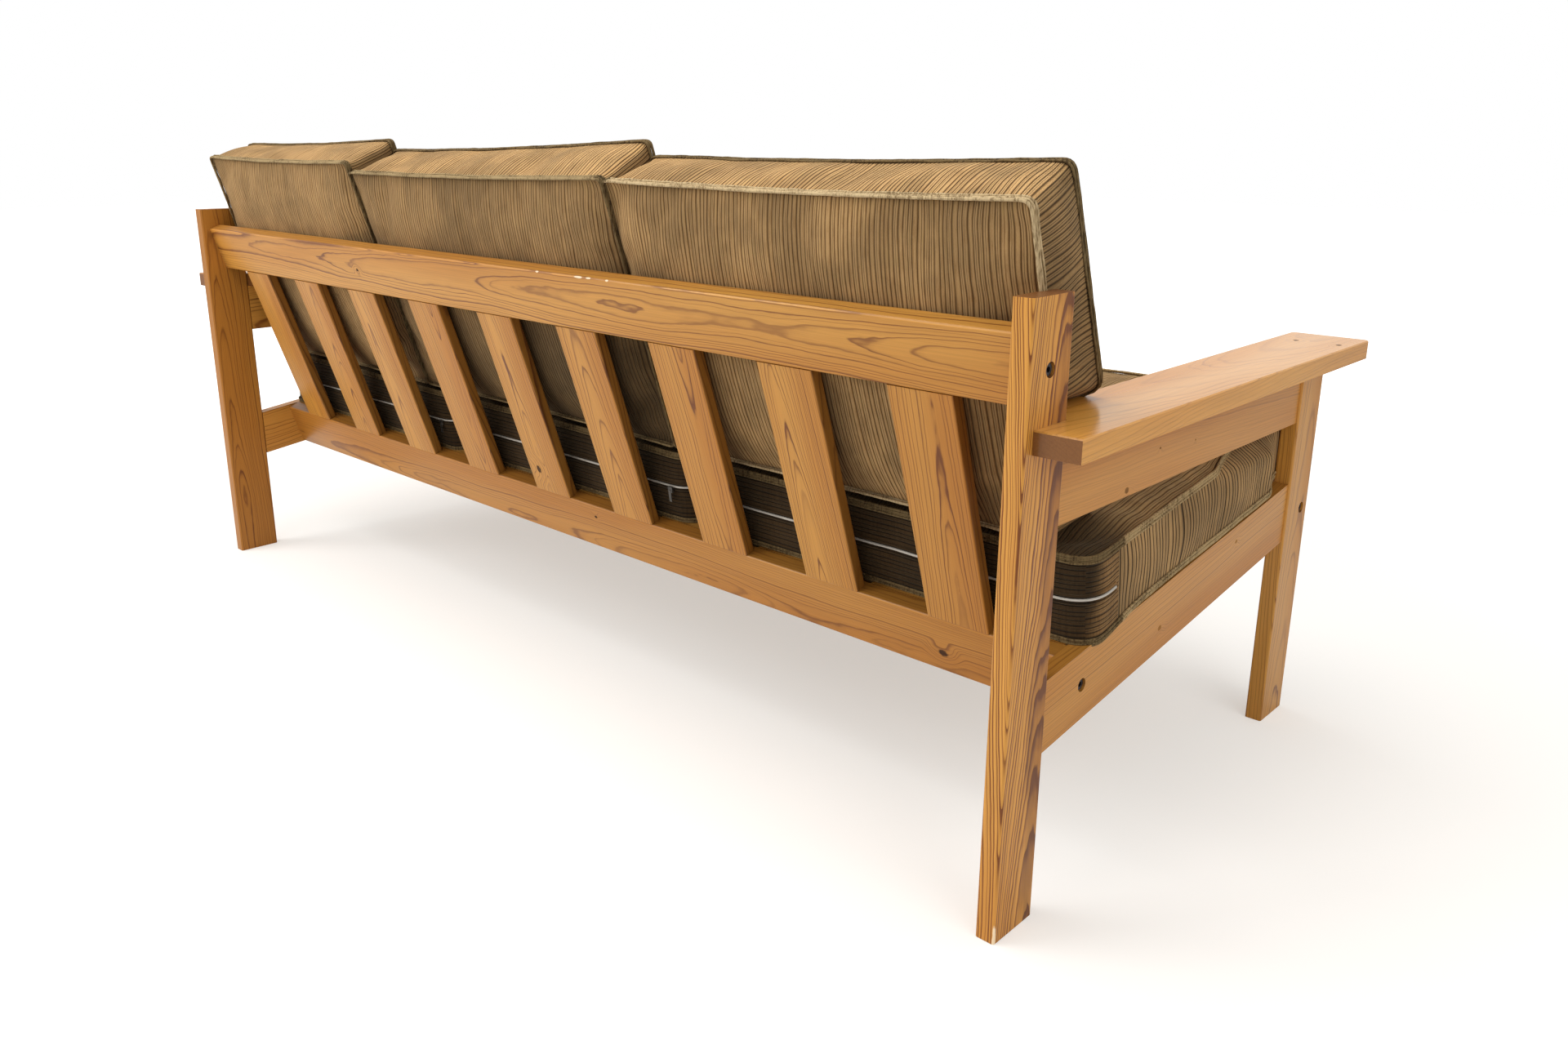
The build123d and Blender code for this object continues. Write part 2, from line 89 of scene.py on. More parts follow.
class NodeBench:
    def __init__(self, name):
        self.material = bpy.data.materials.new(name)
        self.material.use_nodes = True
        self.tree = self.material.node_tree
        self.tree.nodes.clear()
        self.finish = self.node("ShaderNodeBsdfPrincipled")
        out = self.node("ShaderNodeOutputMaterial")
        self.link(self.finish.outputs[0], out.inputs[0])

    def node(self, kind, **settings):
        made = self.tree.nodes.new(kind)
        for key, value in settings.items():
            setattr(made, key, value)
        return made

    def link(self, a, b):
        self.tree.links.new(a, b)

    def feed(self, socket, value):
        if isinstance(value, bpy.types.NodeSocket):
            self.link(value, socket)
        elif value is not None:
            socket.default_value = value

    def surface(self, name, value):
        self.feed(self.finish.inputs[name], value)

    def math(self, operation, a, b=None, c=None, clamp=False):
        made = self.node("ShaderNodeMath", operation=operation, use_clamp=clamp)
        for socket, value in zip(made.inputs, (a, b, c)):
            self.feed(socket, value)
        return made.outputs[0]

    def times(self, a, b, clamp=False):
        return self.math("MULTIPLY", a, b, clamp=clamp)

    def plus(self, a, b):
        return self.math("ADD", a, b)

    def minus(self, a, b):
        return self.math("SUBTRACT", a, b)

    def vector(self, operation, a, b=None, scale=None):
        made = self.node("ShaderNodeVectorMath", operation=operation)
        self.feed(made.inputs[0], a)
        self.feed(made.inputs[1], b)
        if scale is not None:
            self.feed(made.inputs["Scale"], scale)
        return made.outputs["Value" if operation in ("DOT_PRODUCT", "LENGTH", "DISTANCE") else "Vector"]

    def stretch(self, place, factors):
        return self.vector("MULTIPLY", place, factors)

    def noise(self, place, scale=1.0, detail=2.0, rough=0.5):
        made = self.node("ShaderNodeTexNoise")
        self.feed(made.inputs["Vector"], place)
        made.inputs["Scale"].default_value = scale
        made.inputs["Detail"].default_value = detail
        made.inputs["Roughness"].default_value = rough
        return made

    def grey(self, place, scale=1.0, detail=2.0, rough=0.5):
        return self.noise(place, scale, detail, rough).outputs[0]

    def spread(self, value, a0, a1, b0, b1, kind="SMOOTHSTEP"):
        made = self.node("ShaderNodeMapRange", interpolation_type=kind)
        for socket, number in zip(made.inputs[:5], (value, a0, a1, b0, b1)):
            self.feed(socket, number)
        return made.outputs[0]

    def ramp(self, value, stops, kind="LINEAR"):
        made = self.node("ShaderNodeValToRGB")
        made.color_ramp.interpolation = kind
        steps = made.color_ramp.elements
        while len(steps) < len(stops):
            steps.new(0.5)
        for step, (place, colour) in zip(steps, stops):
            step.position = place
            step.color = colour if len(colour) == 4 else (*colour, 1)
        self.feed(made.inputs[0], value)
        return made.outputs[0]

    def greyRamp(self, value, stops):
        return self.ramp(value, [(place, (grey,) * 3) for place, grey in stops])

    def mix(self, share, a, b, kind="MIX"):
        made = self.node("ShaderNodeMix", data_type="RGBA", blend_type=kind)
        self.feed(made.inputs[0], share)
        for socket, value in ((made.inputs[6], a), (made.inputs[7], b)):
            self.feed(socket, (*value, 1) if isinstance(value, tuple) and len(value) == 3 else value)
        return made.outputs[2]

    def dim(self, colour, shade):
        return self.vector("SCALE", colour, scale=shade)

    def bump(self, height, distance, strength=1.0, under=None):
        made = self.node("ShaderNodeBump")
        made.inputs["Strength"].default_value = strength
        made.inputs["Distance"].default_value = distance
        self.feed(made.inputs["Height"], height)
        self.feed(made.inputs["Normal"], under)
        return made.outputs[0]


# lacquered pine: growth rings round a pith that lies beside each board

pineTones = {
    "early": (0.62, 0.305, 0.060),       # pale spring wood
    "warm": (0.49, 0.195, 0.028),
    "late": (0.168, 0.048, 0.008),       # dark summer wood
    "raw": (0.80, 0.62, 0.40),           # where a corner has chipped
    "knot": (0.030, 0.011, 0.005),
    "heart": (0.125, 0.038, 0.007),      # purple-brown resin streaks
    "sawn": (0.150, 0.056, 0.017),       # end grain, where the lacquer has soaked in
}


def pineBoard(name, along, face, middle, pith=(0.01, -0.05), lean=(0.02, 0.03), ring=0.0042,
              wander=0.010, depth=1.0, tone=1.0, red=0.0, knots=(), streak=None, chips=(), paintedSideShade=1.0,
              sawn=0.5, summer=0.20, knotDepth=0.92, gloss=0.34):
    bench = NodeBench(name)
    along, face = Vector(along).normalized(), Vector(face).normalized()
    across = face.cross(along)
    axes = Matrix((along, across, face))
    place = bench.node("ShaderNodeMapping")
    place.inputs["Rotation"].default_value = axes.to_euler()
    place.inputs["Location"].default_value = -(axes @ Vector(middle))
    bench.link(bench.node("ShaderNodeTexCoord").outputs["Object"], place.inputs["Vector"])
    spot = place.outputs[0]

    # the rings wander slowly along the board
    drift = bench.noise(bench.stretch(spot, (1.9, 8.0, 8.0)), 1.0, 2.0, 0.45).outputs["Color"]
    drift = bench.vector("SUBTRACT", drift, (0.5, 0.5, 0.5))
    drift = bench.stretch(drift, (0, wander * 2.4, wander * 3.2))
    ripple = bench.noise(bench.stretch(spot, (9.0, 30.0, 30.0)), 1.0, 3.0, 0.55).outputs["Color"]
    ripple = bench.vector("SUBTRACT", ripple, (0.5, 0.5, 0.5))
    ripple = bench.stretch(ripple, (0, 0.0035, 0.0050))
    bent = bench.vector("ADD", bench.vector("ADD", spot, drift), ripple)
    sideways = bench.plus(bench.vector("DOT_PRODUCT", bent, (lean[0], 1, 0)), pith[0])
    inwards = bench.plus(bench.vector("DOT_PRODUCT", bent, (lean[1], 0, 1)), -pith[1])
    radius = bench.math("SQRT", bench.plus(bench.times(sideways, sideways), bench.times(inwards, inwards)))
    knotMask = None
    for knotX, knotY, size in knots:
        gap = bench.vector("SUBTRACT", spot, (knotX, knotY, 0))
        gap = bench.stretch(gap, (0.72 / size, 1 / size, 0.0))
        gap = bench.vector("LENGTH", gap)
        swell = bench.spread(gap, 0.6, 4.5, size * 1.5, 0.0, "SMOOTHERSTEP")
        radius = bench.plus(radius, swell)
        ragged = bench.plus(gap, bench.times(bench.grey(spot, 260.0, 2.0), 0.5))
        core = bench.spread(ragged, 0.85, 1.25, 1.0, 0.0)
        knotMask = core if knotMask is None else bench.math("MAXIMUM", knotMask, core)
    # no two years grew alike
    grown = bench.node("ShaderNodeCombineXYZ")
    bench.link(radius, grown.inputs[0])
    uneven = bench.grey(grown.outputs[0], 0.42 / ring, 1.0)
    even = bench.math("DIVIDE", radius, ring)
    count = bench.math("MULTIPLY_ADD", bench.minus(uneven, 0.5), 2.6, even)
    year = bench.math("FLOOR", count)
    part = bench.math("FRACT", count)
    luck = bench.node("ShaderNodeTexWhiteNoise", noise_dimensions="1D")
    bench.link(year, luck.inputs["W"])
    strength = bench.math("MULTIPLY_ADD", luck.outputs[0], 0.75, 0.36)
    band = bench.greyRamp(part, ((0.0, 0.45), (0.06, 0.04), (0.98 - 2 * summer, 0.02), (0.98 - summer, 0.26),
                                 (0.91, 1.0), (0.97, 0.95), (1.0, 0.45)))
    late = bench.times(band, bench.times(strength, depth))

    fibre = bench.grey(bench.stretch(spot, (9.0, 620.0, 620.0)), 1.0, 3.0, 0.6)
    broad = bench.grey(bench.stretch(spot, (1.3, 9.0, 9.0)), 1.0, 2.0, 0.5)
    warmth = bench.spread(broad, 0.3, 0.7, 0.15 + red, 0.8 + red)
    ground = bench.mix(warmth, pineTones["early"], pineTones["warm"])
    colour = bench.mix(bench.times(late, 0.86, clamp=True), ground, pineTones["late"])
    if streak:
        zone = bench.stretch(bench.vector("SUBTRACT", spot, streak["middle"]),
                            (1 / streak["size"][0], 1 / streak["size"][1], 0))
        zone = bench.vector("LENGTH", zone)
        torn = bench.grey(bench.stretch(spot, (9.0, 70.0, 20.0)), 1.0, 2.0, 0.5)
        mask = bench.spread(bench.plus(zone, bench.times(torn, 1.3)), 1.1, 1.6, 1.0, 0.0)
        mask = bench.times(mask, bench.math("MULTIPLY_ADD", band, 0.66, 0.42), clamp=True)
        colour = bench.mix(mask, colour, pineTones["heart"])
    if knotMask is not None:
        colour = bench.mix(bench.times(knotMask, knotDepth), colour, pineTones["knot"])
    outwards = bench.node("ShaderNodeTexCoord").outputs["Normal"]
    endOn = bench.math("ABSOLUTE", bench.vector("DOT_PRODUCT", outwards, tuple(along)))
    colour = bench.mix(bench.spread(endOn, 0.55, 0.9, 0.0, sawn), colour, pineTones["sawn"])
    shade = bench.times(bench.spread(fibre, 0.25, 0.75, 0.90, 1.07), tone)
    # painted shade: the board's edge faces, across its width, are darkened
    if paintedSideShade < 1:
        sideOn = bench.math("ABSOLUTE", bench.vector("DOT_PRODUCT", outwards, tuple(across)))
        shade = bench.times(shade, bench.spread(sideOn, 0.6, 0.9, 1.0, paintedSideShade))
    for chipMiddle, chipSize in chips:
        gone = bench.stretch(bench.vector("SUBTRACT", spot, chipMiddle), tuple(1 / c for c in chipSize))
        torn = bench.times(bench.grey(bench.stretch(spot, (90.0, 320.0, 320.0)), 1.0, 2.0), 0.9)
        bare = bench.spread(bench.plus(bench.vector("LENGTH", gone), torn), 1.1, 1.35, 1.0, 0.0)
        colour = bench.mix(bare, colour, pineTones["raw"])
    bench.surface("Base Color", bench.dim(colour, shade))
    sheen = bench.spread(broad, 0.2, 0.8, gloss - 0.05, gloss + 0.09)
    if knotMask is not None:
        sheen = bench.math("MULTIPLY_ADD", knotMask, 0.45, sheen)
    bench.surface("Roughness", sheen)
    bench.surface("Specular IOR Level", 0.25)
    bench.surface("Coat Weight", 0.08)
    bench.surface("Coat Roughness", 0.2)
    relief = bench.bump(fibre, 0.00012, 0.5)
    bench.surface("Normal", bench.bump(late, 0.00018, 0.55, relief))
    return bench.material


def dress(nodeName, material):
    mesh = nodes[nodeName].data
    mesh.materials.clear()
    mesh.materials.append(material)
    for face in mesh.polygons:
        face.material_index = 0


lean = math.radians(17.7)
upBack = (0, math.sin(lean), math.cos(lean))
outBack = (0, math.cos(lean), -math.sin(lean))     # the rear face of the back
slope = math.radians(7.5)
upSeat = (0, -math.cos(slope), math.sin(slope))


def middleOf(nodeName):
    low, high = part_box(nodeName)
    return tuple((a + b) / 2 for a, b in zip(low, high))


# nicks along the top rail with their lengths; knots on the upper side rail, along and across it, and radius
railNicks = ((-0.262, 0.007), (-0.240, 0.011), (-0.300, 0.004), (-0.150, 0.005))
railKnots = ((0.172, 0.037, 0.0042), (0.098, 0.002, 0.0018), (0.005, 0.009, 0.0016))


def dressFrame():
    upright, ahead, level = (0, 0, 1), (0, 1, 0), (1, 0, 0)
    outLeft, outRight = (-1, 0, 0), (1, 0, 0)
    nicks = tuple(((x, -0.0405, 0.0122), (size, 0.0024, 0.0024)) for x, size in railNicks)
    looks = {
        "rear_post_left": dict(
            along=upright, face=outLeft, pith=(0.030, -0.070), lean=(0.012, 0.040), ring=0.0025,
            wander=0.0065, depth=2.1, summer=0.34, tone=1.20, sawn=0.95, red=0.1,
            streak={"middle": (0.04, -0.031, 0), "size": (0.58, 0.034)},
            chips=(((-0.342, 0.038, 0.012), (0.022, 0.004, 0.003)),)),
        "rear_post_right": dict(
            along=upright, face=outRight, pith=(0.02, -0.040), lean=(0.012, 0.03), ring=0.0030, red=0.6,
            tone=0.86),
        "front_leg_left": dict(
            along=upright, face=outLeft, pith=(0.012, -0.060), lean=(0.006, 0.030), ring=0.0032,
            wander=0.005, sawn=0.85),
        "front_leg_right": dict(
            along=upright, face=outRight, pith=(0.012, -0.045), lean=(0.010, 0.025), ring=0.0032),
        "lower_side_rail_left": dict(
            along=upSeat, face=outLeft, pith=(-0.055, -0.020), lean=(0.02, 0.02), ring=0.0032, red=0.25,
            depth=0.7, paintedSideShade=0.72, knotDepth=0.4, knots=((-0.055, -0.012, 0.004), (0.16, 0.02, 0.003))),
        "lower_side_rail_right": dict(along=upSeat, face=outRight, pith=(0.03, -0.05), lean=(0.02, 0.03)),
        "upper_side_rail_left": dict(
            along=ahead, face=outLeft, pith=(0.05, -0.035), lean=(0.02, 0.02), ring=0.0032, red=0.3,
            depth=0.45, knotDepth=0.65, knots=railKnots),
        "upper_side_rail_right": dict(along=ahead, face=outRight, pith=(0.03, -0.06), lean=(0.02, 0.03)),
        "armrest_left": dict(
            along=ahead, face=upright, pith=(0.02, -0.11), lean=(0.01, 0.05), ring=0.0045, tone=1.12,
            depth=0.45, sawn=0.92, gloss=0.22, knots=((-0.32, -0.02, 0.0045), (-0.32, 0.037, 0.0045))),
        "armrest_right": dict(
            along=ahead, face=upright, pith=(-0.02, -0.09), lean=(0.01, 0.04), ring=0.0045, tone=1.08,
            depth=0.5, sawn=0.92, gloss=0.24),
        "top_back_rail": dict(
            along=level, face=outBack, pith=(0.010, -0.030), lean=(0.008, 0.016), ring=0.0031, wander=0.0085,
            depth=1.05, paintedSideShade=0.82, knots=((0.37, 0.0, 0.003),), chips=nicks),
        "bottom_back_rail": dict(
            along=level, face=outBack, pith=(-0.028, -0.030), lean=(0.010, 0.014), ring=0.0030, wander=0.009,
            red=0.40, depth=0.85, tone=0.93, paintedSideShade=0.60,
            knots=((-0.755, 0.012, 0.006), (-0.1, -0.02, 0.003))),
        "front_seat_rail": dict(along=level, face=(0, -1, 0), pith=(0.015, -0.05), lean=(0.012, 0.025)),
    }
    for number in range(1, 10):
        swing = math.sin(number * 2.4)
        looks[f"back_slat_{number}"] = dict(
            along=upBack, face=outBack, pith=(0.016 * swing, -0.016 - 0.008 * math.cos(number * 1.7)),
            lean=(0.020 * swing, (0.036 + 0.012 * math.cos(number * 3.1)) * (1 if number % 3 else -1)),
            ring=0.0033 + 0.0005 * swing, wander=0.005, red=0.16 + 0.12 * swing, depth=1.1, paintedSideShade=0.50,
            tone=0.97)
        looks[f"seat_slat_{number}"] = dict(
            along=upSeat, face=upright, pith=(0.02 * swing, -0.03), lean=(0.01, 0.02), depth=0.7, tone=1.05)
    looks["back_slat_5"]["knots"] = ((-0.115, 0.018, 0.006),)
    for end, tone in (("rear", 0.6), ("front", 1.0)):
        looks[f"seat_ledger_{end}"] = dict(along=level, face=upright, depth=0.7, tone=tone)
    for nodeName, look in looks.items():
        dress(nodeName, pineBoard("pine_" + nodeName, middle=middleOf(nodeName), **look))


dressFrame()
print("boards lacquered")


def metal(name, colour, rough, grain=900.0):
    bench = NodeBench(name)
    spot = bench.node("ShaderNodeTexCoord").outputs["Object"]
    marks = bench.grey(spot, grain, 2.0)
    tarnish = bench.grey(spot, 90.0, 3.0)
    tint = bench.mix(bench.spread(tarnish, 0.35, 0.7, 0.0, 1.0), colour, tuple(c * 0.62 for c in colour))
    bench.surface("Base Color", tint)
    bench.surface("Roughness", bench.spread(marks, 0.3, 0.7, rough - 0.06, rough + 0.1))
    bench.surface("Metallic", 1.0)
    bench.surface("Normal", bench.bump(marks, 0.00005, 0.4))
    return bench.material


zincPlate = metal("zincPlate", (0.50, 0.52, 0.55), 0.38)
dullSteel = metal("dullSteel", (0.085, 0.080, 0.085), 0.42)
for fastener in ("barrel_nuts", "ledger_screws", "seat_slat_screws"):
    dress(fastener, zincPlate)
dress("frame_bolts", dullSteel)
beech = pineBoard("beech", (0, 1, 0), (0, 0, 1), (0, 0, 0), depth=0.25, tone=1.1)
for pins in ("side_frame_dowels", "arm_dowels"):
    dress(pins, beech)
sliderMetal = metal("sliderMetal", (0.22, 0.21, 0.19), 0.4)
for side in ("left", "middle", "right"):
    dress(f"seat_zip_slider_{side}", sliderMetal)


# corduroy, with uneven wales that follow each panel's own threads

corduroyTones = {
    "groove": (0.082, 0.036, 0.008),
    "body": (0.262, 0.143, 0.051),
    "ridge": (0.405, 0.246, 0.105),
    "rubbed": (0.315, 0.195, 0.062),
    "pitch": 0.0062,     # from one wale to the next, in metres
}


def corduroy(name, light=1.0, across=False, paintedShadow=None, tint=None, pitch=None, bend=0.0026, wear=0.75,
             paintedGrooveShade=0.0):
    bench = NodeBench(name)
    threads = bench.node("ShaderNodeUVMap", uv_map="threads").outputs[0]
    spot = bench.node("ShaderNodeTexCoord").outputs["Object"]
    split = bench.node("ShaderNodeSeparateXYZ")
    bench.link(threads, split.inputs[0])
    pitch = pitch or corduroyTones["pitch"]
    sway = bench.grey(threads, 13.0, 2.0)
    sway = bench.times(bench.minus(sway, 0.5), bend)
    u = bench.plus(split.outputs[1 if across else 0], sway)
    flat = bench.node("ShaderNodeCombineXYZ")
    bench.link(u, flat.inputs[0])
    uneven = bench.grey(flat.outputs[0], 70.0, 1.0)
    count = bench.plus(bench.math("DIVIDE", u, pitch), bench.times(uneven, 1.25))
    part = bench.math("FRACT", count)
    luck = bench.node("ShaderNodeTexWhiteNoise", noise_dimensions="1D")
    bench.link(bench.math("FLOOR", count), luck.inputs["W"])
    pile = bench.grey(bench.stretch(threads, (1500.0, 420.0, 1.0)), 1.0, 3.0, 0.65)
    rubbed = bench.grey(bench.stretch(threads, (300.0, 34.0, 1.0)), 1.0, 3.0, 0.6)
    brushed = bench.grey(spot, 12.0, 3.0, 0.55)
    wale = bench.greyRamp(part, ((0.0, 0.0), (0.05, 0.10), (0.14, 0.74), (0.30, 0.96),
                                 (0.55, 1.0), (0.82, 0.90), (0.94, 0.50), (1.0, 0.0)))
    # many wales carry a fainter second groove
    second = bench.greyRamp(part, ((0.0, 1.0), (0.46, 1.0), (0.54, 0.30), (0.62, 1.0), (1.0, 1.0)))
    second = bench.mix(bench.spread(luck.outputs[0], 0.25, 0.75, 0.0, 1.0), (1, 1, 1), second)
    height = bench.times(wale, second)
    worn = bench.math("MULTIPLY_ADD", bench.minus(pile, 0.5), 0.30, height)
    worn = bench.plus(worn, bench.times(bench.minus(rubbed, 0.5), wear))
    worn = bench.plus(worn, bench.times(bench.minus(luck.outputs[0], 0.5), 0.16))
    deepBody = tuple(c * 0.62 for c in corduroyTones["body"])
    colour = bench.ramp(worn, [(0.0, corduroyTones["groove"]), (0.30, deepBody),
                               (0.72, corduroyTones["body"]), (1.0, corduroyTones["ridge"])])
    golden = bench.times(bench.spread(rubbed, 0.5, 0.72, 0.0, 0.5), wale)
    colour = bench.mix(golden, colour, corduroyTones["rubbed"])
    # painted light and shade: light makes this copy of the cloth lighter or darker all over
    shade = bench.times(bench.spread(brushed, 0.32, 0.68, 0.74, 1.14), light)
    if paintedGrooveShade:
        # painted shade in the grooves between the wales
        beside = bench.math("ABSOLUTE", bench.minus(part, 0.48))
        shade = bench.times(shade, bench.spread(beside, 0.26, 0.46, 1.0, 1 - paintedGrooveShade))
    if paintedShadow:
        # painted shadow: darker inside the given zones, where the cover lies in shade
        deep = paintedShadow["deep"]
        for way, start, end in paintedShadow["between"]:
            inside = bench.spread(bench.vector("DOT_PRODUCT", spot, way), start, end, 1.0, 0.0)
            deep = bench.times(inside, deep)
        shade = bench.times(shade, bench.minus(1.0, deep))
    if tint:
        colour = bench.stretch(colour, tint)
    bench.surface("Base Color", bench.dim(colour, shade))
    bench.surface("Roughness", 0.95)
    bench.surface("Specular IOR Level", 0.15)
    bench.surface("Sheen Weight", 0.12)
    bench.surface("Sheen Roughness", 0.5)
    bench.surface("Sheen Tint", (0.95, 0.76, 0.48, 1))
    soft = bench.bump(pile, 0.0006, 0.5)
    bench.surface("Normal", bench.bump(height, 0.0014, 0.9, soft))
    return bench.material


coverCloth = corduroy("coverCloth")
rearwards = (0, -math.cos(lean), math.sin(lean))
# painted shade: a darker copy for the middle back cushion, with a painted shadow low on its rear face towards
# the left cushion
shadyCloth = corduroy("shadyCloth", 0.84, paintedShadow={
    "deep": 0.64, "between": (((0, 0, 1), 0.54, 0.67), ((1, 0, 0), -0.12, 0.36), (rearwards, -0.08, -0.05))})
# painted shade: a slightly darker copy for the seat tops, with a painted shadow towards the rear under the
# back cushions and arms
seatCloth = corduroy("seatCloth", 0.90, paintedShadow={"deep": 0.78, "between": (((0, -1, 0), -0.24, -0.04),)})
sideCloth = corduroy("sideCloth", 1.00, pitch=0.0080, bend=0.0008, wear=0.40, paintedGrooveShade=0.72)
# painted highlight: a lighter copy for the top border of the back cushions
paintedLitTopCloth = corduroy("paintedLitTopCloth", 1.30, paintedGrooveShade=0.45)
# painted shade: a darker copy for the ends of the back cushions
shadedEndCloth = corduroy("shadedEndCloth", 0.74, paintedGrooveShade=0.40)
# painted shade and shadow: a darker copy for the seats' rear border and plackets, darker still at the rear
# behind the back boards; partly the cloth's own darker colour
crossCloth = corduroy("crossCloth", 0.74, across=True, tint=(1.0, 0.90, 0.80), bend=0.0012, wear=1.1,
                      paintedGrooveShade=0.40, paintedShadow={"deep": 0.84, "between": (((0, -1, 0), -0.238, -0.212),)})


def piping(name, pale, dark):
    # narrow folded edge with the ends of its ribs showing as ticks
    bench = NodeBench(name)
    spot = bench.node("ShaderNodeTexCoord").outputs["Object"]
    ticks = bench.grey(bench.stretch(spot, (420.0, 420.0, 60.0)), 1.0, 2.0, 0.6)
    soil = bench.grey(spot, 26.0, 3.0)
    worn = bench.math("MULTIPLY_ADD", bench.minus(soil, 0.5), 0.5, ticks)
    bench.surface("Base Color", bench.ramp(worn, [(0.30, dark), (0.55, pale)]))
    bench.surface("Roughness", 0.9)
    bench.surface("Specular IOR Level", 0.15)
    bench.surface("Normal", bench.bump(ticks, 0.0007, 0.6))
    return bench.material


palePiping = piping("palePiping", (0.54, 0.405, 0.225), (0.22, 0.148, 0.070))
olivePiping = piping("olivePiping", (0.34, 0.245, 0.120), (0.13, 0.085, 0.038))
seatPiping = piping("seatPiping", (0.41, 0.29, 0.14), (0.125, 0.080, 0.035))
# painted shade: a darker copy of the piping for seams that lie in shade
shadedPiping = piping("shadedPiping", (0.17, 0.115, 0.050), (0.050, 0.030, 0.012))


# cushions: boxed covers, blown up by the cloth solver between held seams

cushionSizes = {
    "cell": 0.0095,
    "seamDip": 0.004,      # how far the sides pull in between corners
    "seamWave": 0.0016,
    "piping": (0.0014, 0.0048),     # radius of one edge, and from one to the other
    "borderCap": 0.015,    # how far the border may swell
    "zipCap": 0.002,       # and its band with the zip
}
clothRun = {
    "steps": 20,
    "pressure": 4.0,
    "shrink": -0.035,      # below zero the cloth grows
    "pull": 12,
    "shear": 6,
    "bend": 0.9,
    "mass": 0.3,
    "ripple": 0.0035,      # unevenness before it is filled
    "slide": 0.3,          # share of the motion along the cloth that is kept
    "smoothing": ((-1.0, 2), (0.6, 9)),     # how upright the faces are, and rounds
}


def boxCover(name, width, length, height):
    cell = cushionSizes["cell"]
    nx, ny, nz = (max(4, round(size / cell)) for size in (width, length, height))
    cover = bmesh.new()
    bmesh.ops.create_grid(cover, x_segments=nx, y_segments=ny, size=0.5,
                          matrix=Matrix.Translation((0, 0, height)) @ Matrix.Diagonal((width, length, 1, 1)))
    rim = [edge for edge in cover.edges if edge.is_boundary]
    for step in range(nz):
        grown = bmesh.ops.extrude_edge_only(cover, edges=rim)["geom"]
        rim = [item for item in grown if isinstance(item, bmesh.types.BMEdge)]
        moved = [item for item in grown if isinstance(item, bmesh.types.BMVert)]
        bmesh.ops.translate(cover, verts=moved, vec=(0, 0, -height / nz))
    bmesh.ops.create_grid(cover, x_segments=nx, y_segments=ny, size=0.5,
                          matrix=Matrix.Diagonal((width, length, 1, 1)))
    bmesh.ops.remove_doubles(cover, verts=cover.verts, dist=cell * 0.1)
    bmesh.ops.recalc_face_normals(cover, faces=cover.faces)
    mesh = bpy.data.meshes.new(name)
    cover.to_mesh(mesh)
    cover.free()
    return addObject(name, mesh)


def readPoints(mesh):
    flat = np.empty(len(mesh.vertices) * 3)
    mesh.vertices.foreach_get("co", flat)
    return flat.reshape(-1, 3)


def writePoints(mesh, points):
    mesh.vertices.foreach_set("co", np.ascontiguousarray(points).ravel())
    mesh.update()


def threadMap(item, length, rearBand, cloth):
    # cloth lengths in metres: across the wales first, then along them
    mesh = item.data
    points = readPoints(mesh)
    uv = mesh.uv_layers.new(name="threads")
    # each side of the cover takes its own copy of the cloth, lit or shaded with painted light
    for finish in (cloth, crossCloth, sideCloth if rearBand else shadedEndCloth, paintedLitTopCloth):
        mesh.materials.append(finish)
    for face in mesh.polygons:
        normal = face.normal
        flatFace = abs(normal.z) > 0.7
        if rearBand and not flatFace:
            face.material_index = 1 if face.center.y > length / 2 - rearBand else 2
        elif abs(normal.x) > 0.7:
            face.material_index = 2
        elif normal.y > 0.7:
            face.material_index = 3
        for loop in face.loop_indices:
            x, y, z = points[mesh.loops[loop].vertex_index]
            if flatFace:
                uv.data[loop].uv = (x, y)
            elif abs(normal.x) > 0.7:
                uv.data[loop].uv = (y + 3.0, z)
            else:
                uv.data[loop].uv = (x, z + 2.0)


def roundPlan(points, width, length, radius):
    # square corners of the plan become round ones
    done = points.copy()
    for signX in (-1, 1):
        for signY in (-1, 1):
            u = (points[:, 0] * signX - (width / 2 - radius)) / radius
            v = (points[:, 1] * signY - (length / 2 - radius)) / radius
            inside = (u > 0) & (v > 0)
            cu, cv = np.clip(u, 0, 1), np.clip(v, 0, 1)
            ru = cu * np.sqrt(1 - cv * cv / 2)
            rv = cv * np.sqrt(1 - cu * cu / 2)
            done[inside, 0] = signX * (width / 2 - radius + ru[inside] * radius)
            done[inside, 1] = signY * (length / 2 - radius + rv[inside] * radius)
    return done


def smoothOut(mesh, loose, rounds):
    # takes small ripples out of the cloth
    cloth = bmesh.new()
    cloth.from_mesh(mesh)
    cloth.verts.ensure_lookup_table()
    free = [cloth.verts[int(i)] for i in np.nonzero(loose)[0]]
    for step in range(rounds):
        bmesh.ops.smooth_vert(cloth, verts=free, factor=0.5,
                              use_axis_x=True, use_axis_y=True, use_axis_z=True)
    cloth.to_mesh(mesh)
    cloth.free()


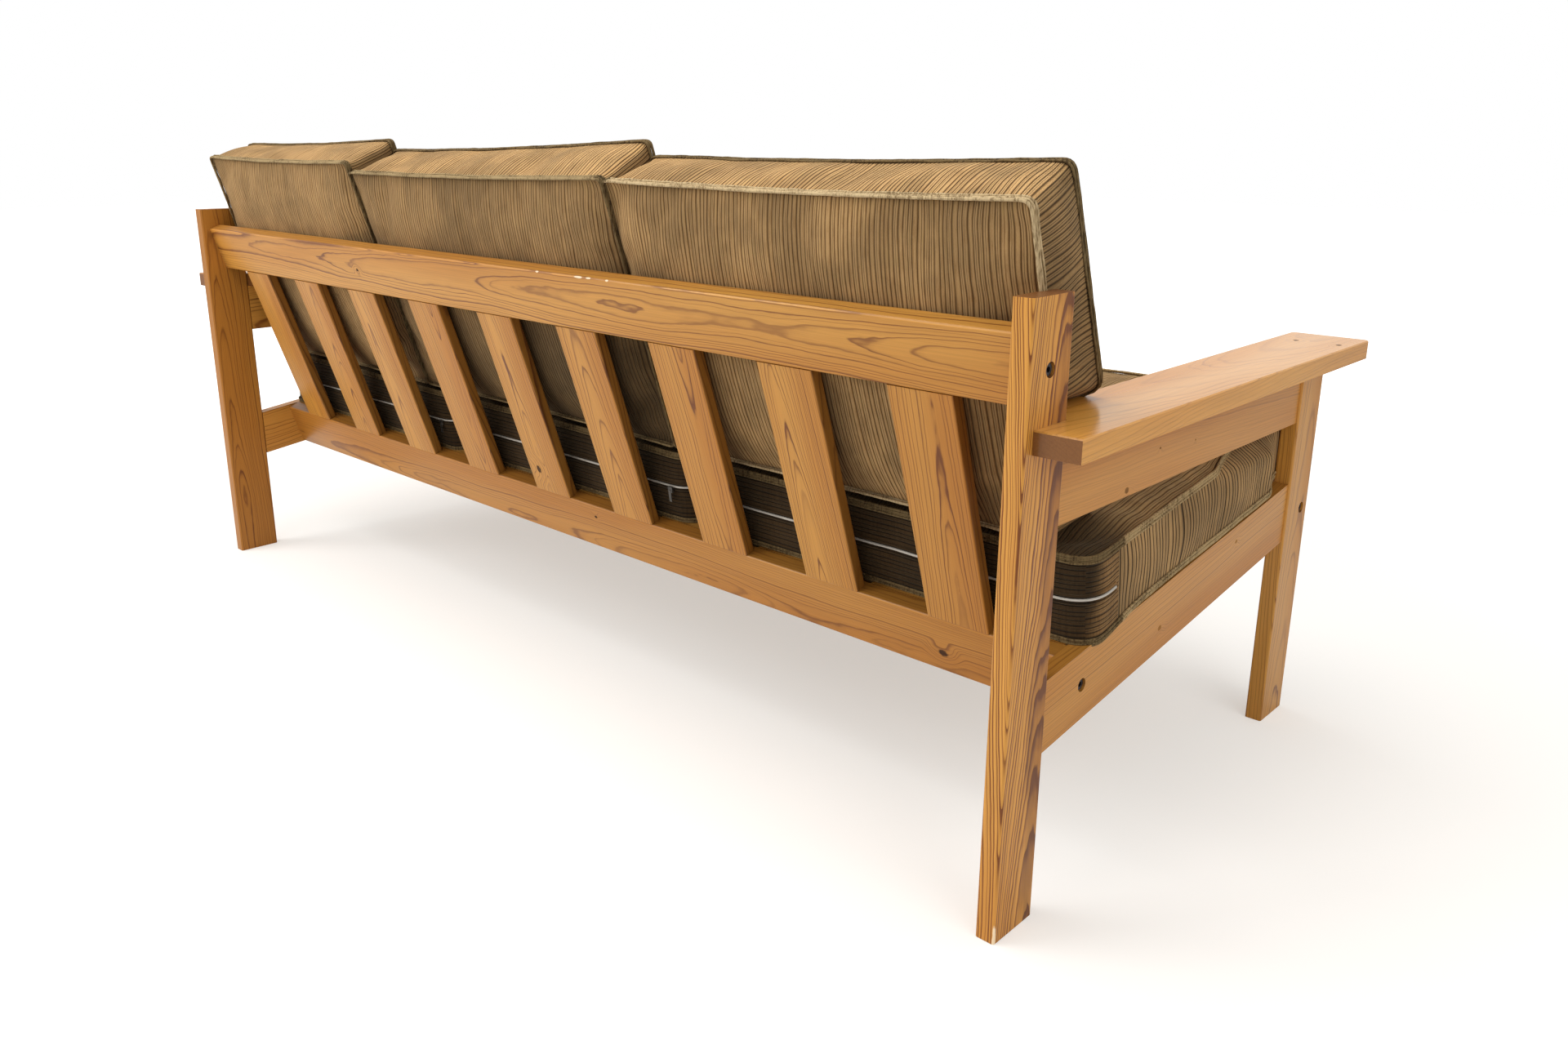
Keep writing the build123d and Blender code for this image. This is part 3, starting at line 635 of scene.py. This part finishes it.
def blowUp(item, held, caps, seed):
    # the cloth solver fills the cover; held points stay, the rest move no further than their cap
    mesh = item.data
    start = readPoints(mesh).copy()
    normals = np.empty(len(start) * 3)
    mesh.vertices.foreach_get("normal", normals)
    normals = normals.reshape(-1, 3)
    rough = start.copy()
    for index, point in enumerate(start):
        push = noise.noise(Vector(point) * 14 + Vector((seed * 3.7, seed, -seed)))
        rough[index] += normals[index] * push * (0 if held[index] else clothRun["ripple"])
    writePoints(mesh, rough)
    group = item.vertex_groups.new(name="held")
    group.add([int(i) for i in np.nonzero(held)[0]], 1.0, "REPLACE")
    cloth = item.modifiers.new("cloth", "CLOTH")
    settings = cloth.settings
    settings.quality = 6
    settings.mass = clothRun["mass"]
    settings.tension_stiffness = settings.compression_stiffness = clothRun["pull"]
    settings.shear_stiffness = clothRun["shear"]
    settings.bending_stiffness = clothRun["bend"]
    settings.use_pressure = True
    settings.uniform_pressure_force = clothRun["pressure"]
    settings.shrink_min = clothRun["shrink"]
    settings.vertex_group_mass = "held"
    settings.pin_stiffness = 1.0
    settings.effector_weights.gravity = 0
    cloth.collision_settings.use_collision = False
    cloth.point_cache.frame_start, cloth.point_cache.frame_end = 1, clothRun["steps"] + 4
    for step in range(clothRun["steps"]):
        scene.frame_set(step + 1)
    shaped = item.evaluated_get(bpy.context.evaluated_depsgraph_get())
    end = readPoints(shaped.data).copy()
    item.modifiers.remove(cloth)
    item.vertex_groups.remove(group)
    scene.frame_set(1)
    move = end - start
    outwards = (move * normals).sum(axis=1)[:, None] * normals
    move = outwards + (move - outwards) * clothRun["slide"]      # the threads stay nearly straight
    far = np.linalg.norm(move, axis=1) + 1e-9
    soft = caps * np.tanh(far / caps)
    writePoints(mesh, start + move * (soft / far)[:, None])
    upright = np.hypot(normals[:, 0], normals[:, 1])
    for least, rounds in clothRun["smoothing"]:
        smoothOut(mesh, ~held & (upright > least), rounds)
    print("  filled", item.name, "moved", round(float(far.max()), 4))


def seamLoop(points, ids):
    # the seam's points in order round the plan
    ring = points[ids]
    turn = np.arctan2(ring[:, 1], ring[:, 0])
    return [int(ids[i]) for i in np.argsort(turn)]


def curvePiece(name, data):
    # the curve as a mesh of its own
    shape = addObject(name, data)
    bpy.context.view_layer.update()
    mesh = bpy.data.meshes.new_from_object(shape.evaluated_get(bpy.context.evaluated_depsgraph_get()))
    bpy.data.objects.remove(shape)
    mesh.name = name
    for face in mesh.polygons:
        face.use_smooth = True
    return addObject(name, mesh)


# the strands along a seam: rise, reach outwards, thickness, and whether one wanders
weltStrands = ((0.5, 0.95, 0.9, 1), (-0.5, 1.05, 1.0, 1), (0.0, 0.10, 1.1, 0), (1.0, 0.2, 1.3, 0))


def weltOn(name, ring, outward, radius, apart, finish, seed, shaded, towards):
    # two thin piped edges side by side along one closed seam, with a sunk strand beside each
    data = bpy.data.curves.new(name, "CURVE")
    data.dimensions = "3D"
    data.bevel_depth, data.bevel_resolution, data.resolution_u = radius, 2, 2
    data.materials.append(finish)
    data.materials.append(shadedPiping)      # painted shade: a darker copy where the seam lies in shade
    for rise, out, thick, loose in weltStrands:
        path = data.splines.new("NURBS")
        path.points.add(len(ring) - 1)
        for knot, point, away in zip(path.points, ring, outward):
            wave = noise.noise(Vector(point) * 60 + Vector((rise * 5.0, seed, 0)))
            swell = noise.noise(Vector(point) * 140 + Vector((0, rise * 9.0, seed)))
            place = Vector(point) + Vector(away) * (radius * out + wave * 0.0010 * loose)
            place.z += towards * rise * apart + wave * 0.0008
            knot.co = (*place, 1)
            knot.radius = thick * (1 + 0.25 * swell)
        path.use_cyclic_u = True
        path.order_u = 3
    item = curvePiece(name, data)
    for face in item.data.polygons:
        if shaded(face.center):
            face.material_index = 1
    return item


def frameAt(place, *axes):
    return Matrix.Translation(place) @ Matrix(axes).transposed().to_4x4()


postFrontY, backFootY, deckHeight = 0.3255, 0.1763, 0.285
sideways = Vector((1, 0, 0))
offDeck = Vector((0, math.sin(slope), math.cos(slope)))
backFrame = frameAt((0, backFootY, 0), sideways, Vector(upBack), -Vector(outBack))
seatFrame = frameAt((0, postFrontY, deckHeight), sideways, -Vector(upSeat), offDeck)


def moveMesh(item, matrix):
    item.data.transform(matrix)
    item.data.update()


def pressAside(item, limits):
    # keeps a cover out of the boards beside it
    points = readPoints(item.data)
    limits(points)
    writePoints(item.data, points)


def creaseSeams(item, onSeam):
    # sewn edges stay where they were cut when the cover is smoothed
    crease = item.data.attributes.new("crease_edge", "FLOAT", "EDGE")
    for edge in item.data.edges:
        a, b = edge.vertices
        crease.data[edge.index].value = 1.0 if onSeam[a] and onSeam[b] else 0.0


def finishCover(item):
    for face in item.data.polygons:
        face.use_smooth = True
    smooth = item.modifiers.new("smooth", "SUBSURF")
    smooth.levels = smooth.render_levels = 1


def makeCushion(name, width, length, height, low, matrix, lift, limits, rearBand, seed, fill, welts,
                corner, cloth, dip):
    item = boxCover(name, width, length, height)
    threadMap(item, length, rearBand, cloth)
    points = readPoints(item.data)
    tiny = 1e-5
    onEnds = np.abs(np.abs(points[:, 0]) - width / 2) < tiny
    onRim = onEnds | (np.abs(np.abs(points[:, 1]) - length / 2) < tiny)
    topSeam = np.nonzero(onRim & (np.abs(points[:, 2] - height) < tiny))[0]
    lowSeam = np.nonzero(onRim & (np.abs(points[:, 2]) < tiny))[0]
    onBorder = onRim & (points[:, 2] > tiny) & (points[:, 2] < height - tiny)
    onSeam = np.zeros(len(points), bool)
    onSeam[topSeam] = onSeam[lowSeam] = True
    held = onSeam.copy()
    if rearBand:
        held |= onBorder & (np.abs(points[:, 1] - (length / 2 - rearBand)) < cushionSizes["cell"] * 0.55)
    topRing, lowRing = seamLoop(points, topSeam), seamLoop(points, lowSeam)
    caps = np.where(onBorder, cushionSizes["borderCap"], fill)
    if rearBand:
        caps[onBorder & (points[:, 1] > length / 2 - 1e-4)] = cushionSizes["zipCap"]
    # room for the seams to pull in between the corners
    points = roundPlan(points, width, length, corner)
    across, down = points[:, 0] / (width / 2), points[:, 1] / (length / 2)
    for axis, reach, other, deep in ((0, across, down, dip), (1, down, across, cushionSizes["seamDip"])):
        arch = np.cos(np.clip(other, -1, 1) * math.pi / 2)
        points[:, axis] -= np.sign(reach) * np.abs(reach) ** 3 * deep * arch
    for ring in (topRing, lowRing):
        for index in ring:
            wave = noise.noise(Vector(points[index]) * 11 + Vector((seed, 0, 0)))
            points[index, 2] += cushionSizes["seamWave"] * wave
    points[:, 2] += low
    lift(points, across, down)
    writePoints(item.data, points)
    outward = {}
    for ring in (topRing, lowRing):
        spots = points[ring]
        ahead = np.roll(spots, -1, axis=0) - np.roll(spots, 1, axis=0)
        out = np.stack([ahead[:, 1], -ahead[:, 0], np.zeros(len(ring))], axis=1)
        out /= np.linalg.norm(out, axis=1)[:, None]
        outward[ring[0]] = out
    blowUp(item, held, caps, seed)
    moveMesh(item, matrix)
    pressAside(item, limits)
    creaseSeams(item, onSeam)
    finishCover(item)
    shaped = readPoints(item.data)
    back = np.array(matrix.inverted())
    local = shaped @ back[:3, :3].T + back[:3, 3]
    made = []
    outer = -1 if name.endswith("left") else 1 if name.endswith("right") else 0

    # painted shade: the piping here takes the darker copy
    def shaded(spot):
        if rearBand:
            return spot.y > length / 2 - rearBand * 1.1
        return abs(spot.x) > width / 2 - 0.012 and spot.x * outer <= 0

    for part, ring, material, towards in (("upper_welt", topRing, welts[0], 1),
                                          ("lower_welt", lowRing, welts[1], -1)):
        welt = weltOn(f"{name}_{part}", local[ring], outward[ring[0]], *cushionSizes["piping"],
                      material, seed, shaded, towards)
        moveMesh(welt, matrix)
        made.append(welt)
    if rearBand:
        made += sewZip(name, local, np.nonzero(onBorder)[0], length, height, matrix)
    return item, made


# zip along the rear border, with its two folded plackets

zipLook = {
    "reach": 0.052,        # how far it runs on round each corner
    "coil": 0.0017,
    "placket": 0.0022,
    "apart": 0.0085,
    "tooth": 0.0016,
    "white": (0.62, 0.57, 0.49),
}


def zipCoil():
    bench = NodeBench("zipCoil")
    spot = bench.node("ShaderNodeTexCoord").outputs["Object"]
    along = bench.vector("DOT_PRODUCT", spot, (1, 1, 0))
    teeth = bench.math("SINE", bench.times(along, 2 * math.pi / zipLook["tooth"]))
    soil = bench.grey(spot, 60.0, 3.0)
    soiled = tuple(c * 0.6 for c in zipLook["white"])
    tint = bench.mix(bench.spread(soil, 0.3, 0.75, 0.0, 0.5), zipLook["white"], soiled)
    bench.surface("Base Color", tint)
    bench.surface("Roughness", 0.5)
    bench.surface("Normal", bench.bump(teeth, 0.0003, 0.6))
    return bench.material


coilNylon = zipCoil()


def openTube(name, line, radius, material):
    data = bpy.data.curves.new(name, "CURVE")
    data.dimensions = "3D"
    data.bevel_depth, data.bevel_resolution, data.resolution_u = radius, 2, 2
    data.use_fill_caps = True
    path = data.splines.new("NURBS")
    path.points.add(len(line) - 1)
    for knot, point in zip(path.points, line):
        knot.co = (*point, 1)
    path.use_endpoint_u = True
    path.order_u = 3
    item = curvePiece(name, data)
    mesh = item.data
    mesh.materials.clear()
    mesh.materials.append(material)
    uv = mesh.uv_layers.get("threads") or mesh.uv_layers.new(name="threads")
    for loop in mesh.loops:
        x, y, z = mesh.vertices[loop.vertex_index].co
        uv.data[loop.index].uv = (x + y, z)
    return item


def sewZip(name, local, border, length, height, matrix):
    level = seatLook["low"] + height * 0.53
    near = border[np.abs(local[border][:, 2] - level) < cushionSizes["cell"] * 0.75]
    spots = local[near]
    spots = spots[spots[:, 1] > length / 2 - zipLook["reach"] - 0.012]
    spots = spots[np.argsort(np.arctan2(spots[:, 0], spots[:, 1] - length / 2 + 0.25))]
    # one point for each column of the border
    keep = [spots[0]]
    for spot in spots[1:]:
        if np.linalg.norm(spot[:2] - keep[-1][:2]) > 0.006:
            keep.append(spot)
    line = np.array(keep)
    ahead = np.gradient(line, axis=0)
    side = np.stack([-ahead[:, 1], ahead[:, 0], np.zeros(len(line))], axis=1)
    side /= np.linalg.norm(side, axis=1)[:, None]
    pieces = []
    for part, rise, radius, out, material in (
            ("zip", 0.0, zipLook["coil"], 0.0008, coilNylon),
            ("placket_high", zipLook["apart"] / 2, zipLook["placket"], 0.0002, crossCloth),
            ("placket_low", -zipLook["apart"] / 2, zipLook["placket"], 0.0002, crossCloth)):
        line[:, 2] = level + rise
        tube = openTube(f"{name}_{part}", line + side * out, radius, material)
        moveMesh(tube, matrix)
        pieces.append(tube)
    return pieces


innerX = 0.916
armInner = 0.8857
coverRoom = {
    "gap": 0.0006,             # from the boards
    "apart": 0.0004,           # from the cushion beside it
    "railEdge": 0.9385,        # the cover rests on the deck and side rails up to here
    "legs": (-0.322, -0.200),  # the bulge grows between these, from front to rear
    "rail": (0.428, 0.4515),   # and fades between these, below the upper rail
    "tuckedFrom": 0.06,        # behind this the seat lies under the back cushions
    "tucked": 0.118,
    "stand": 0.1190,           # where the back cushions stand, above the deck
    "backBoards": 0.0256,
    "armTop": 0.5735,
    "armSoft": 0.010,
    "overArm": 0.0365,         # how much wider the back is above the arms
    "postFront": 0.3240,
    "postTop": 0.7015,
}


def smoothStep(value, start, end):
    share = np.clip((value - start) / (end - start), 0, 1)
    return share * share * (3 - 2 * share)


def levelAt(y, z):
    # height above the deck, square to its slope
    return (z - deckHeight) * math.cos(slope) + (y - postFrontY) * math.sin(slope)


def seatLimits(x0, x1):
    room = coverRoom

    def limits(points):
        x, y, z = points[:, 0], points[:, 1], points[:, 2]
        level = levelAt(y, z)
        short = np.where(np.abs(x) > room["railEdge"], 0, np.maximum(0, room["gap"] - level))
        points[:, 1] += short * math.sin(slope)
        points[:, 2] += short * math.cos(slope)
        # held in between the front legs and the upper rails, free to hang over the lower rails
        free = smoothStep(y, *room["legs"]) * (1 - smoothStep(z, *room["rail"]))
        edge = innerX - room["gap"] + free * (seatLook["overhang"] + 0.010)
        left = -edge if x0 < -0.9 else np.full(len(points), x0 + room["apart"])
        right = edge if x1 > 0.9 else np.full(len(points), x1 - room["apart"])
        points[:, 0] = np.clip(x, left, right)
        under = (y > room["tuckedFrom"]) & (level > room["tucked"])
        points[:, 2] -= np.where(under, (level - room["tucked"]) * math.cos(slope), 0)
    return limits


def backLimits(x0, x1):
    room = coverRoom

    def limits(points):
        x, y, z = points[:, 0], points[:, 1], points[:, 2]
        forward = -(y - backFootY) * math.cos(lean) + z * math.sin(lean)
        short = np.maximum(0, room["backBoards"] - forward)
        points[:, 1] -= short * math.cos(lean)
        points[:, 2] += short * math.sin(lean)
        short = np.maximum(0, room["stand"] - levelAt(y, z))
        points[:, 2] += short / math.cos(slope)
        rise = np.clip((z - room["armTop"]) / room["armSoft"], 0, 1)
        besideArm = armInner - 0.0008 + room["overArm"] * rise
        left = -besideArm if x0 < -0.9 else np.full(len(points), x0 + room["apart"])
        right = besideArm if x1 > 0.9 else np.full(len(points), x1 - room["apart"])
        points[:, 0] = np.clip(x, left, right)
        postSide = innerX - 0.001
        post = (y > room["postFront"]) & (np.abs(x) > postSide) & (z < room["postTop"])
        points[:, 0] = np.where(post, np.sign(x) * postSide, x)
    return limits


seatRoom = [(-0.91585, -0.30543), (-0.30513, 0.30513), (0.30543, 0.91585)]
backRoom = [(-0.91585, -0.28223), (-0.28193, 0.37182), (0.37212, 0.91585)]
seatLook = {
    "start": 0.0845,
    "depth": 0.640,
    "border": 0.097,
    "low": 0.0032,
    "overhang": 0.024,     # over each side rail
    "curl": 0.008,         # how much that edge is raised
}
backLook = {
    "low": 0.0535,
    "border": 0.087,
    "top": 0.811,
    # what each cushion's upper corners stand above or below the even height
    "corners": {
        "left": {"rear": (-0.001, -0.001), "front": (0.006, 0.000)},
        "middle": {"rear": (0.002, -0.006), "front": (0.021, 0.000)},
        "right": {"rear": (0.010, 0.012), "front": (0.018, 0.006)},
    },
}
sideNames = ("left", "middle", "right")


def footOfBack(forward):
    # how far up the lean a depth meets the top of the seat cushions
    level = deckHeight + coverRoom["stand"] / math.cos(slope)
    startY = backFootY - forward * math.cos(lean)
    startZ = forward * math.sin(lean)
    rise = level + (postFrontY - startY) * math.tan(slope) - startZ
    return rise / (math.cos(lean) + math.sin(lean) * math.tan(slope))


def outerShare(side, across):
    # from 0 at the middle of an end cushion to 1 at its outer end
    return np.clip(-across if side == "left" else across * (side == "right"), 0, 1)


def makeSeat(index):
    side = sideNames[index]
    x0, x1 = seatRoom[index]
    reach = [x + math.copysign(seatLook["overhang"], x) * (abs(x) > 0.9) for x in (x0, x1)]
    width, length = reach[1] - reach[0] + 0.002, seatLook["depth"]
    middle = -seatLook["start"] - length / 2
    matrix = seatFrame @ Matrix.Translation((sum(reach) / 2, middle, 0))

    def lift(points, across, down):
        share = np.clip((points[:, 2] - seatLook["low"]) / seatLook["border"], 0, 1)
        points[:, 2] += share * (0.003 * np.clip(down, 0, 1) ** 2)
        # the outer edge lies on the side rail, a little raised
        curl = smoothStep(outerShare(side, across), 0.90, 1.0) * (1 - smoothStep(down, 0.62, 0.93))
        points[:, 2] += (1 - share) * seatLook["curl"] * curl

    return makeCushion(f"seat_cover_{side}", width, length, seatLook["border"], seatLook["low"], matrix, lift,
                       seatLimits(x0, x1), rearBand=0.070, seed=3 + index, fill=0.022,
                       welts=(seatPiping, seatPiping), corner=0.030, cloth=seatCloth, dip=0.004)


def makeBack(index):
    side = sideNames[index]
    x0, x1 = backRoom[index]
    foot, top = footOfBack(backLook["low"]), backLook["top"]
    width, length = x1 - x0 + 0.004, top - foot
    matrix = backFrame @ Matrix.Translation(((x0 + x1) / 2, (foot + top) / 2, 0))
    rears, fronts = (backLook["corners"][side][part] for part in ("rear", "front"))
    frontFoot = footOfBack(backLook["low"] + backLook["border"])

    def lift(points, across, down):
        share = np.clip((points[:, 2] - backLook["low"]) / backLook["border"], 0, 1)
        s = np.clip((across + 1) / 2, 0, 1)
        rear, front = (ends[0] * (1 - s) + ends[1] * s for ends in (rears, fronts))
        rise = (1 - share) * rear + share * front
        up = np.clip((down + 1) / 2, 0, 1)
        points[:, 1] += rise * up + share * (frontFoot - foot) * (1 - up)
        # the outer end draws in towards the top
        draw = 0.004 + 0.008 * share if side == "left" else -0.024 * (1 - share)
        points[:, 0] += outerShare(side, across) ** 3 * up ** 2 * draw

    # painted shade: the front seam of each back cushion takes the darker piping
    lowWelt = palePiping if side == "left" else olivePiping
    return makeCushion(f"back_cover_{side}", width, length, backLook["border"], backLook["low"], matrix, lift,
                       backLimits(x0, x1), rearBand=0.0, seed=11 + index, fill=0.030,
                       welts=(shadedPiping, lowWelt), corner=0.009,
                       cloth=shadyCloth if side == "middle" else coverCloth, dip=0.001)


def sewCushions():
    for index, side in enumerate(sideNames):
        seat, seatWelts = makeSeat(index)
        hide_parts(f"seat_cushion_cover_{side}", f"seat_cushion_foam_{side}")
        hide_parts(f"seat_zip_{side}")
        back, backWelts = makeBack(index)
        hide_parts(f"back_cushion_cover_{side}", f"back_cushion_foam_{side}")
        for body, cover, welts in ((f"seat_cushion_{side}", seat, seatWelts),
                                   (f"back_cushion_{side}", back, backWelts)):
            for piece in (cover, *welts):
                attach(piece, body)


sewCushions()
print("cushions sewn")


# studio: pale floor that runs into the backdrop, soft lamps

studio = {
    "floor": (0.80, 0.79, 0.78),
    "sky": 0.50,
    "seen": (0.46, 0.445, 0.42),       # the floor's own light for the camera
    "dull": (0.60, 0.59, 0.575),
    "near": 1.3,                       # the shade runs out between these distances
    "far": 3.2,
    "lamps": {                         # place, width and power
        "keyLamp": ((2.4, 3.2, 2.4), 2.4, 88.0),
        "topLamp": ((0.2, 0.6, 3.4), 3.0, 80.0),
        "fillLamp": ((-3.6, 1.0, 2.4), 2.4, 34.0),
    },
    "aim": (0, 0, 0.4),
}


def makeStudio():
    room = bmesh.new()
    bmesh.ops.create_grid(room, x_segments=1, y_segments=1, size=14)
    mesh = bpy.data.meshes.new("floor")
    room.to_mesh(mesh)
    room.free()
    mesh.transform(Matrix.Translation((0, 0, -0.0005)))
    floor = addObject("floor", mesh)
    bench = NodeBench("paleFloor")
    bench.surface("Base Color", (*studio["floor"], 1))
    bench.surface("Roughness", 0.75)
    # what the camera sees: shade round the sofa, white further off
    away = bench.vector("LENGTH", bench.node("ShaderNodeTexCoord").outputs["Object"])
    away = bench.spread(away, studio["near"], studio["far"], 0.0, 1.0)
    seen = bench.node("ShaderNodeEmission")
    bench.link(bench.mix(away, studio["seen"], (1, 1, 1)), seen.inputs[0])
    dull = bench.node("ShaderNodeBsdfDiffuse")
    dull.inputs[0].default_value = (*studio["dull"], 1)
    both, pick = bench.node("ShaderNodeAddShader"), bench.node("ShaderNodeMixShader")
    bench.link(seen.outputs[0], both.inputs[0])
    bench.link(dull.outputs[0], both.inputs[1])
    bench.link(bench.node("ShaderNodeLightPath").outputs["Is Camera Ray"], pick.inputs[0])
    bench.link(bench.finish.outputs[0], pick.inputs[1])
    bench.link(both.outputs[0], pick.inputs[2])
    bench.link(pick.outputs[0], bench.tree.nodes["Material Output"].inputs[0])
    mesh.materials.append(bench.material)
    world = bpy.data.worlds.new("studio")
    world.use_nodes = True
    scene.world = world
    tree = world.node_tree
    back, white = tree.nodes["Background"], tree.nodes.new("ShaderNodeBackground")
    for light, power in ((back, studio["sky"]), (white, 1.0)):
        light.inputs[0].default_value = (1, 1, 1, 1)
        light.inputs[1].default_value = power
    path = tree.nodes.new("ShaderNodeLightPath")
    blend = tree.nodes.new("ShaderNodeMixShader")
    either = tree.nodes.new("ShaderNodeMath")
    either.operation = "MAXIMUM"
    for start, end in ((path.outputs["Is Camera Ray"], either.inputs[0]),
                       (path.outputs["Is Glossy Ray"], either.inputs[1]),
                       (either.outputs[0], blend.inputs[0]),
                       (back.outputs[0], blend.inputs[1]),
                       (white.outputs[0], blend.inputs[2]),
                       (blend.outputs[0], tree.nodes["World Output"].inputs[0])):
        tree.links.new(start, end)
    for name, (place, size, power) in studio["lamps"].items():
        data = bpy.data.lights.new(name, "AREA")
        data.shape = "SQUARE"
        data.size = size
        data.energy = power
        aim = Vector(studio["aim"]) - Vector(place)
        lamp = addObject(name, data)
        lamp.matrix_world = Matrix.Translation(place) @ aim.to_track_quat("-Z", "Y").to_matrix().to_4x4()


makeStudio()
scene.view_settings.view_transform = "Standard"
print("studio lit")
